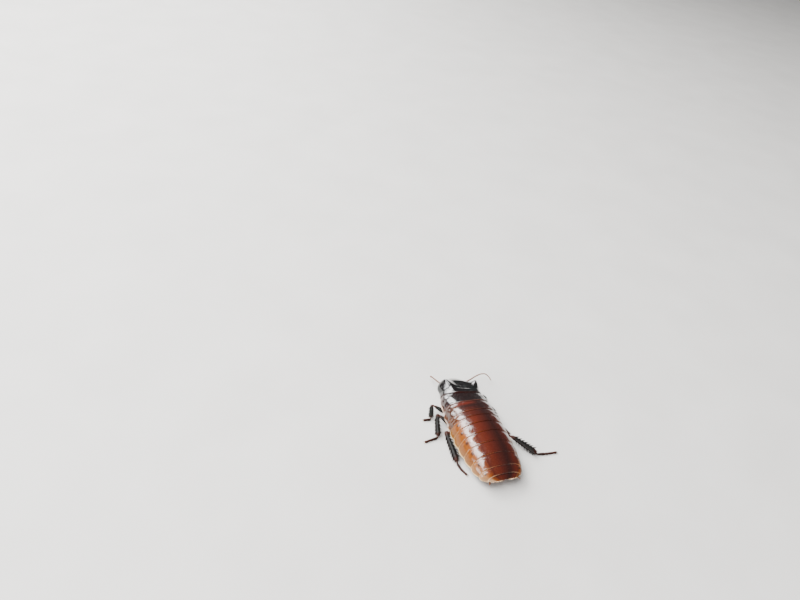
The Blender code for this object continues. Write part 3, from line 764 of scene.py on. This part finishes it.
def tail_plate(material):
    """The last plate above, notched, with a thin ragged edge."""
    u = column(40)
    angle = over_the_back(0.1, 130)
    across = share_across(angle)
    notch = 0.12 * hump(across, 0, 0.16)
    ragged = 0.1 * np.sin(across * 41) + 0.07 * np.sin(across * 67 + 1)
    last = TAIL_END - 0.15 - notch - 0.7 * np.abs(across) ** 6 + ragged
    s, _ = lengthwise(PLATE_ENDS[-1], last, u)
    marks = plate_marks(0.2 + 0.8 * u, angle, 0.08, pale=0.9)
    heap = Heap()
    heap.plate(s, angle, curve(TAIL_TUCK, u), 0.3 - 0.2 * u, marks)
    heap.piece("tail_plate", material, "brown_shell", "abdomen_end")


def scoop(material):
    """The last plate below, rounded and open behind."""
    u = column(40)
    angle = under_the_belly(20)
    s = SCOOP_START + u * (TAIL_END - 1.1 - SCOOP_START) - 1.2 * u * np.abs(np.cos(angle)) ** 4
    heap = Heap()
    heap.plate(s, angle, 0.3 + 0.25 * u, UNDERSIDE_DEPTH, {"across": np.abs(np.cos(angle)), "along": u})
    heap.piece("subgenital_plate", material, "brown_shell")


# Limbs

def route(places, count):
    """Evenly stepped points on a smooth curve through a few places."""
    places = np.array(places, float)
    reach = np.concatenate([[0], np.cumsum(np.linalg.norm(np.diff(places, axis=0), axis=1))])
    steps = np.linspace(0, reach[-1], count)
    return np.stack([curve(list(zip(reach, places[:, axis])), steps) for axis in range(3)], 1)


def frames(points):
    """Directions along, across and over a route, carried along so that nothing twists."""
    along = unit(np.gradient(points, axis=0))
    across = np.cross(points[len(points) // 2] - points[0], (0, 0, 1))
    sides = []
    for direction in along:
        across = unit(across - direction * across.dot(direction))
        sides.append(across)
    sides = np.array(sides)
    return along, sides, np.cross(sides, along)


def rings(points, widths, depths, count, low=-math.inf, grow=1.0):
    """Rings of points round a route, none of them lower than low, and each spread by grow round its turn."""
    _, sides, over = frames(points)
    turn = turns(count)
    widths, depths = (np.broadcast_to(size, (len(points),))[:, None] for size in (widths, depths))
    out = (points[:, None] + sides[:, None] * (widths * np.cos(turn) * grow)[..., None]
           + over[:, None] * (depths * np.sin(turn) * grow)[..., None])
    out[..., 2] = np.maximum(out[..., 2], low)
    return out[:, ::-1]


def along_table(values, count):
    """Values in equal steps along a smooth curve through a few."""
    return curve(list(zip(np.linspace(0, 1, len(values)), values)), np.linspace(0, 1, count))


def thorn(heap, root, tip, radius, tone=0.6):
    """One smooth spine on a small collar, slightly bowed, redder at its tip."""
    share, size = np.array(THORN).T
    reach = tip - root
    bow = np.sin(share * math.pi)[:, None] * np.cross(reach, (0, 0, 1.0)) * THORN_BOW
    points = root + share[:, None] * reach + bow
    heap.tube(rings(points, radius * size, radius * size, 10), {"tip": share[:, None] ** 2 * tone})


def bristles(heap, roots, directions, lengths, radius):
    """Many short stiff hairs, each a three-sided cone."""
    directions = unit(directions)
    side = unit(np.cross(directions, (0.31, 0.57, 0.76)))
    over = np.cross(directions, side)
    base = roots - directions * 0.03
    corners = [base + radius * (side * math.cos(turn) + over * math.sin(turn)) for turn in turns(3)]
    tips = roots + directions * lengths[:, None]
    first = np.arange(len(roots))[:, None] * 4
    faces = np.concatenate([first + np.array(face) for face in ([0, 1, 3], [1, 2, 3], [2, 0, 3])])
    heap.add(np.stack([*corners, tips], 1), faces, {"tip": 0.5})


def hair_on(heap, grid, amount, length, radius, chance, lean=0.9, low=-math.inf):
    """Hairs scattered over a tube's rings, leaning along it, without those that would reach below low."""
    rows, columns = grid.shape[:2]
    centre = grid.mean(1)
    hairs = []
    for _ in range(amount):
        row = chance.uniform(0.05, 0.92) * (rows - 1)
        i = int(row)
        column_at = chance.randrange(columns)
        spot = grid[i, column_at] * (1 - row + i) + grid[i + 1, column_at] * (row - i)
        middle = centre[i] * (1 - row + i) + centre[i + 1] * (row - i)
        reach = length * chance.uniform(0.6, 1.2)
        direction = unit(spot - middle) + unit(centre[i + 1] - centre[i]) * lean
        if (spot + direction * reach)[2] >= low:
            hairs.append((spot, direction, reach))
    roots, directions, lengths = (np.array(values) for values in zip(*hairs))
    bristles(heap, roots, directions, lengths, radius)


def joint(heap, start, end, radius):
    """The short folded skin that joins two pieces of a limb."""
    points = np.linspace(start, end, 14)
    size = radius * (1.0 + 0.08 * np.cos(np.linspace(0, 6 * math.pi, 14)))
    heap.tube(rings(points, size, size, 18), {"tip": 0.9})


class Leg:
    """The places of one leg, the directions between them and its own random draws."""

    def __init__(self, name, places):
        self.name = name
        self.pair = name.split("_")[0]
        self.size = LEG_SIZE[self.pair]
        self.base, self.hip, self.knee, self.ankle, *self.foot = np.array(places)
        self.inward = unit(self.hip - self.base)
        self.thigh = unit(self.knee - self.hip)
        self.shin = unit(self.ankle - self.knee)
        self.chance = random.Random(name)

    def piece(self, heap, kind, material):
        """The object for one part of the leg, in the place of its node."""
        node = "%s_%s" % (kind, self.name)
        heap.piece(node + "_shell", material, "leg_shell", node)


def coxa(leg, material):
    """The broad flat hip piece that lies against the chest."""
    shape = along_table([0.55, 0.9, 1.0, 0.95, 0.8, 0.55, 0.34], 40)
    points = np.linspace(leg.base, leg.hip - leg.inward * 0.6, 40)
    heap = Heap()
    grid = rings(points, shape * COXA_WIDTH * leg.size, shape * COXA_DEPTH, 40,
                 grow=1.0 + 0.06 * np.cos(turns(40) * 2))
    heap.tube(grid, {"tip": along_table([0.5, 0.15, 0, 0, 0, 0.3, 0.8], 40)[:, None]})
    joint(heap, leg.hip - leg.inward * 0.9, leg.hip + leg.inward * 0.5, 0.3 * leg.size)
    hair_on(heap, grid, 60, 0.35, 0.02, leg.chance)
    leg.piece(heap, "coxa", material)


def femur(leg, material):
    """The thigh with its small trochanter at the hip, flattened, with short spines under it."""
    start = leg.hip + leg.inward * 0.4 + leg.thigh * 0.3
    points = route([start, leg.hip + leg.thigh * 2.4, leg.knee - leg.thigh * 0.95], 60)
    shape = along_table([0.4, 0.5, 0.46, 0.72, 0.92, 1.0, 1.0, 0.96, 0.88, 0.76, 0.7, 0.62, 0.42], 60)
    heap = Heap()
    grid = rings(points, shape * FEMUR_WIDTH * leg.size, shape * FEMUR_DEPTH, 32)
    heap.tube(grid, {"tip": along_table([0.8, 0.5, 0.7, 0.1, 0, 0, 0, 0, 0, 0.2, 0.5], 60)[:, None]})
    along, sides, over = frames(points)
    for i in range(18, 58, 8):
        for side in (-1, 1):
            out = -over[i] * 0.8 + side * sides[i] * 0.6
            root = points[i] + out * shape[i] * FEMUR_DEPTH * 0.85
            thorn(heap, root, root + out * 0.35 + along[i] * 0.4, 0.08)
    joint(heap, leg.knee - leg.thigh * 1.2, leg.knee + leg.thigh * 0.12, 0.42 * leg.size)
    hair_on(heap, grid, 110, 0.38, 0.018, leg.chance)
    leg.piece(heap, "femur", material)


def tibia(leg, material):
    """The shin: slender at the knee, wider and grooved towards the foot, armed with rows of spines."""
    points = route([leg.knee, leg.knee + leg.thigh * 0.5 + leg.shin * 0.9, leg.ankle - leg.shin * 0.1], 80)
    shape = along_table([0.55, 0.85, 0.84, 0.88, 0.95, 1.0, 1.05, 1.08, 1.12, 1.1, 0.72], 80)
    radii = shape * TIBIA_RADIUS * leg.size
    heap = Heap()
    grid = rings(points, radii, radii, 36, grow=1.0 - 0.07 * np.abs(np.sin(turns(36) * 2.0)) ** 0.5)
    heap.tube(grid, {"tip": along_table([0.7, 0.3, 0, 0, 0, 0, 0, 0, 0, 0.2, 0.6], 80)[:, None]})
    along, sides, over = frames(points)
    rows = SPINE_ROWS[leg.pair]
    for side in (-1, 1):
        for lift, reach_share, shift in ((0.6, 1.0, 0.2), (-0.75, 0.55, 0.55)):
            for row in range(rows):
                share = 0.14 + 0.78 * (row + (0.3 if side > 0 else 0.0) + shift) / rows
                i = min(int(share * 79), 76)
                out = unit(sides[i] * side * 0.95 + over[i] * lift)
                reach = SPINE_LENGTH * leg.size * reach_share * leg.chance.uniform(0.85, 1.08)
                root = points[i] + out * radii[i] * 0.75
                tip = points[i] + out * (radii[i] + 0.6 * reach) + along[i] * 0.85 * reach
                if tip[2] > 0.15:
                    thorn(heap, root, tip, 0.36 * (0.7 + 0.3 * reach_share), tone=0.3)
    for turn in turns(5) + 0.3:
        out = sides[-3] * math.cos(turn) + over[-3] * math.sin(turn)
        tip = points[-3] + out * (radii[-3] + 0.35) + along[-3] * 0.8
        if tip[2] > 0.1:
            thorn(heap, points[-4] + out * radii[-4] * 0.8, tip, 0.12)
    hair_on(heap, grid, 160, 0.4, 0.016, leg.chance)
    leg.piece(heap, "tibia", material)


def foot_shape(leg):
    """The foot's route from the ankle to its end, and its radii, narrower at the end of each joint."""
    heading = unit(leg.foot[0] - leg.ankle)
    start = leg.ankle + leg.shin * 0.35 + heading * 0.45
    start[2] = FOOT_RADIUS + 0.1
    points = route([start, (start + leg.foot[0]) / 2, *leg.foot], 90)
    points[:, 2] = 0.5 + (points[0, 2] - 0.5) * np.linspace(1, 0, 90) ** 3
    share = np.linspace(0, 1, 90)
    radii = np.full(90, 0.3)
    for first, last in zip(FOOT_JOINTS, FOOT_JOINTS[1:]):
        inside = (share >= first) & (share <= last)
        t = (share[inside] - first) / (last - first)
        radii[inside] = 0.43 + 0.17 * t**0.6 - 0.2 * rising(t, 0.9, 0.1) ** 2
    return points, radii * np.linspace(1.1, 0.92, 90), start, points[0] + heading * 0.2


def claws(heap, end, ahead, beside):
    """Two hooked claws at the end of a foot."""
    for side in (-1, 1):
        root = end + beside * side * 0.12
        hook = [root + ahead * reach + beside * side * out + np.array([0, 0, up]) for reach, out, up in CLAW]
        claw = route(hook, 16)
        claw[:, 2] = np.maximum(claw[:, 2], 0.07)
        heap.tube(rings(claw, np.linspace(0.15, 0.02, 16), np.linspace(0.16, 0.02, 16), 10),
                  {"tip": np.linspace(0.4, 1.0, 16)[:, None]})


def tarsus(leg, material, pad_material):
    """The foot: five jointed pieces with pale pads beneath, and two hooked claws with a pad between."""
    points, radii, start, first = foot_shape(leg)
    link = leg.ankle + leg.shin * 0.1
    skin = route([link, (link + start) / 2 + np.array([0, 0, -0.05]), first], 10)
    heap = Heap()
    heap.tube(rings(skin, 0.3, 0.3, 16), {"tip": 0.8})
    grid = rings(points, radii, radii * 0.95, 24, 0.04)
    heap.tube(grid, {"tip": 0.15 + 0.4 * column(90)})
    hair_on(heap, grid, 150, 0.28, 0.014, leg.chance, 1.1, 0.03)
    along, sides, _ = frames(points)
    claws(heap, points[-1], along[-1], sides[-1])
    leg.piece(heap, "tarsus", material)
    pads = Heap()
    for last in FOOT_JOINTS[1:5]:
        i = int(last * 89) - 4
        span = points[max(i - 5, 0):i + 3].copy()
        span[:, 2] = 0.2
        size = np.sin(np.linspace(0.25, math.pi - 0.25, len(span)))
        pads.tube(rings(span, 0.3 * size, 0.2 * size, 16, 0.0))
    sole = np.linspace(points[-1] - along[-1] * 0.1, points[-1] + along[-1] * 0.4, 8)
    sole[:, 2] = 0.24
    size = np.sin(np.linspace(0.3, math.pi - 0.3, 8))
    pads.tube(rings(sole, 0.22 * size, 0.18 * size, 14, 0.0))
    pads.piece("pads_%s" % leg.name, pad_material, "feeler")


def legs(material, pad_material, skin_material):
    """The six legs, and the soft sockets that hold them to the chest."""
    sockets = Heap()
    for name, places in LEGS.items():
        leg = Leg(name, places)
        coxa(leg, material)
        femur(leg, material)
        tibia(leg, material)
        tarsus(leg, material, pad_material)
        points = np.linspace(leg.base - leg.inward * 0.7 + SOCKET_RISE, leg.base + leg.inward * 0.7, 16)
        sockets.tube(rings(points, 0.8 * COXA_WIDTH * leg.size, 0.7 * COXA_DEPTH, 28))
    sockets.piece("hip_sockets", skin_material, "tan_shell")


# Feelers and tail feelers

def feeler(name, kind, material, grid, marks, hairs, low=-math.inf):
    """The piece of one feeler from its rings, with hairs by their number, length, radius and lean."""
    heap = Heap()
    heap.tube(grid, marks)
    amount, length, radius, lean = hairs
    hair_on(heap, grid, amount, length, radius, random.Random(name), lean, low)
    heap.piece("%s_%s" % (name, kind), material, "feeler", name)


def antenna(name, places, material):
    """One feeler: a stout first joint, a short second, then many bead-like rings with short hairs."""
    steps = ANTENNA_JOINTS * STEPS_A_JOINT
    points = route(places, steps)
    share = np.linspace(0, 1, steps)
    phase = (share * ANTENNA_JOINTS) % 1.0
    bead = 1.0 + 0.1 * np.sin(phase * math.pi) - 0.08 * (phase < 0.16)
    base = np.where(share < 0.045, 1.15, np.where(share < 0.07, 0.95, 0.92))
    thick = ANTENNA_RADIUS * base * (1.0 - 0.5 * share) * bead * np.where(share > 0.996, 0.6, 1.0)
    marks = {"tip": share[:, None] ** 0.7, "ring": (np.abs(phase - 0.05) < 0.14)[:, None]}
    feeler(name, "rings", material, rings(points, thick, thick, 14), marks, (1400, 0.2, 0.011, 0.7))


def palp(name, side, material):
    """A jointed palp that hangs beside the mouth, with a wide last joint."""
    points = route([(side * x, y, z) for x, y, z in PALP], 60)
    share = np.linspace(0, 1, 60)
    phase = (share * PALP_JOINTS) % 1.0
    thick = (0.22 + 0.1 * phase**1.5) * (1.0 + 0.25 * share) * np.where(share > 0.98, 0.6, 1.0)
    marks = {"tip": 0.3 + 0.5 * share[:, None]}
    feeler(name, "joints", material, rings(points, thick, thick, 16, 0.05), marks, (160, 0.18, 0.01, 0.6), 0.05)


def cercus(name, side, material):
    """A short ringed tail feeler with long fine hairs."""
    base, tip = (np.array([side * x + TAIL_BEND, y, z]) for x, y, z in CERCUS)
    points = np.linspace(base, tip, 60)
    share = np.linspace(0, 1, 60)
    thick = (0.6 - 0.48 * share**1.2) * (1.0 + 0.07 * np.sin(share * 2 * math.pi * CERCUS_RINGS))
    thick[0] = 0.3
    marks = {"tip": 0.3 + 0.6 * share[:, None]}
    feeler(name, "rings", material, rings(points, thick, thick * 0.8, 20), marks, (90, 0.35, 0.012, 0.5))


# The head

def head_point(level, angle, lift):
    """Points of the head from the crown, level 0, to the mouth, level 1; a quarter turn is the front."""
    level, angle, lift = np.broadcast_arrays(level, angle, lift)
    size = curve(HEAD_SHAPE, level)
    x = (HEAD_HALF_WIDTH * size + lift) * np.cos(angle)
    y = NOSE_Y - HEAD_S - 0.5 * level + (HEAD_HALF_DEPTH * size + lift) * np.sin(angle)
    z = HEAD_TOP + (HEAD_BOTTOM - HEAD_TOP) * level
    return np.stack([x, y, z], -1)


def head_capsule(material):
    """The head's capsule with brow, face shield, seams, cheeks and the sockets of the feelers."""
    level = np.linspace(0.005, 1.0, 90)[:, None]
    angle = turns(140)
    front = np.clip(np.sin(angle), 0, 1)
    side = np.abs(np.cos(angle))
    brow = 0.12 * hump(level, 0.3, 0.08) * front
    face = 0.16 * hump(level, 0.58, 0.14) * front**3
    seam = 0.1 * hump(level, 0.72, 0.012) * front**2
    fork = 0.05 * hump(side, 0.9 * np.clip(level - 0.1, 0, 1), 0.02) * front * (level < 0.45)
    cheek = 0.1 * hump(level, 0.75, 0.12) * side**3
    socket = 0.0
    for turn in (math.radians(61), math.radians(119)):
        away = ((level - 0.47) / 0.085) ** 2 + ((angle - turn) / 0.26) ** 2
        socket = socket + 0.2 * np.exp(-(away - 1.0) ** 2 * 6) - 0.25 * np.exp(-away * 2.2)
    raised = head_point(level, angle, brow + face + socket + cheek - seam - fork)
    heap = Heap()
    heap.tube(raised[:, ::-1], {"tip": (0.55 * rising(level, 0.6, 0.4) * (0.3 + front))[:, ::-1]})
    hair_on(heap, raised[20:, ::-1], 160, 0.22, 0.012, random.Random("face"), 0.8)
    heap.piece("head_capsule", material, "black_shell", "head")


def light_eyes(material):
    """The two small pale light-eyes between the sockets of the feelers."""
    heap = Heap()
    around = turns(20)
    size, lift = np.array(LIGHT_EYE_RINGS).T[..., None]
    for turn in (math.radians(74), math.radians(106)):
        spot = head_point(0.37 + 0.035 * size * np.sin(around), turn + 0.085 * size * np.cos(around), lift)
        heap.tube(spot[:, ::-1])
    heap.piece("light_eyes", material, "feeler")


def jaw_route(places, side, count):
    """A route through places counted from the jaws' middle, on one side."""
    return route([(side * x, JAW_Y + y, z) for x, y, z in places], count)


def mouth(material):
    """The lip, and on each side the outer and inner jaw and the small feeler of the lower lip."""
    heap = Heap()
    beads = 0.16 + 0.05 * (np.linspace(0, 3, 30) % 1.0)
    heap.tube(rings(jaw_route(LIP, 1, 24), along_table([0.95, 1.1, 1.0, 0.55], 24), 0.16, 24), {"tip": 0.5})
    for side in (-1, 1):
        for places, widths, depths, count, around, tone in JAWS:
            heap.tube(rings(jaw_route(places, side, count), along_table(widths, count),
                            along_table(depths, count), around), {"tip": tone})
        heap.tube(rings(jaw_route(LIP_FEELER, side, 30), beads, beads, 12), {"tip": 0.9})
    heap.piece("mouth", material, "leg_shell", "mouthparts")


def eyes(material):
    """A kidney-shaped compound eye on each side, wrapped round the root of the feeler."""
    around = turns(72)
    size, lift = np.array(EYE_RINGS).T[..., None]
    level = 0.36 + 0.17 * size * np.sin(around)
    turn = np.radians(24 + 26 * size * np.cos(around) + 10 * np.sin(around) ** 2)
    for name, side in SIDES.items():
        grid = head_point(level, turn if side > 0 else math.pi - turn, lift)
        heap = Heap()
        heap.tube(grid if side < 0 else grid[:, ::-1])
        heap.piece("eye_%s_lens" % name, material, "eye", "eye_" + name)


# Floor, light and camera

def floor():
    """A plain pale floor with a faint, fine texture."""
    mesh = bpy.data.meshes.new("floor")
    corners = [(FLOOR_HALF * x, FLOOR_HALF * y, 0) for x, y in ((-1, -1), (1, -1), (1, 1), (-1, 1))]
    mesh.from_pydata(corners, [], [(0, 1, 2, 3)])
    mesh.materials.append(pale_board())
    thing = placed("floor", mesh)


def strip_light(name, start, end, width, share):
    """A long soft light between two directions, seen from the body as a strip of the given width in degrees."""
    start = Vector(start).normalized() * LIGHT_DISTANCE
    end = Vector(end).normalized() * LIGHT_DISTANCE
    lamp = bpy.data.lights.new(name, "AREA")
    lamp.shape = "RECTANGLE"
    lamp.size = (end - start).length
    lamp.size_y = 2 * LIGHT_DISTANCE * math.tan(math.radians(width / 2))
    lamp.energy = STRIP_RADIANCE * share * math.pi * lamp.size * lamp.size_y
    middle = (start + end) / 2
    along = (end - start).normalized()
    back = (middle - along * middle.dot(along)).normalized()
    across = back.cross(along)
    turn = Matrix((along, across, back)).transposed().to_4x4()
    placed(name, lamp).matrix_world = Matrix.Translation(Vector(ORIGIN) + middle) @ turn


def lights():
    """Strips over the left side light the flank, two in front pick out the horns, and the room is dim."""
    for name, strip in STRIPS.items():
        strip_light(name, *strip)
    world = bpy.data.worlds.new("room")
    world.use_nodes = True
    room = world.node_tree.nodes["Background"].inputs
    room["Color"].default_value = linear(ROOM_COLOUR)
    room["Strength"].default_value = ROOM_LIGHT
    bpy.context.scene.world = world


def camera():
    """Looks at the body from behind, left and above, and keeps it off the middle of the frame as in the photo."""
    azimuth, elevation, roll = (math.radians(value) for value in (AZIMUTH, ELEVATION, ROLL))
    facing = (Matrix.Rotation(azimuth, 3, "Z") @ Matrix.Rotation(math.pi / 2 - elevation, 3, "X")
              @ Matrix.Rotation(-roll, 3, "Z"))
    away = Vector(((IMAGE_WIDTH / 2 - BODY_CENTRE_PIXEL[0]) / FOCAL_PIXELS,
                   (BODY_CENTRE_PIXEL[1] - IMAGE_HEIGHT / 2) / FOCAL_PIXELS, 1.0)).normalized()
    beside = Vector((0, 1, 0)).cross(away).normalized()
    turn = facing @ Matrix((beside, away.cross(beside), away))
    lens = bpy.data.cameras.new("camera")
    lens.sensor_width = SENSOR
    lens.lens = SENSOR * FOCAL_PIXELS / IMAGE_WIDTH
    lens.clip_start = NEAREST
    thing = placed("camera", lens)
    place = Vector(ORIGIN) + (Vector(BODY_CENTRE) + facing.col[2] * DISTANCE) * MM
    thing.matrix_world = Matrix.Translation(place) @ turn.to_4x4()
    bpy.context.scene.camera = thing


def main():
    belly = belly_cuticle()
    banded = banded_cuticle()
    dark = limb_cuticle()
    dull = feeler_cuticle()
    cream = pale_pad()
    skin = soft_membrane()
    shield(hard_black_cuticle())
    plates(banded, belly)
    tail_plate(banded)
    scoop(belly)
    chest_plates(belly)
    spiracles(dark)
    membrane(skin)
    head_capsule(dark)
    light_eyes(cream)
    mouth(dark)
    eyes(compound_eye())
    legs(dark, cream, skin)
    for name, places in ANTENNAE.items():
        antenna(name, places, dull)
    for name, side in SIDES.items():
        palp("palp_" + name, side, dull)
    for name, side in SIDES.items():
        cercus("cercus_" + name, side, dull)
    floor()
    lights()
    camera()


main()
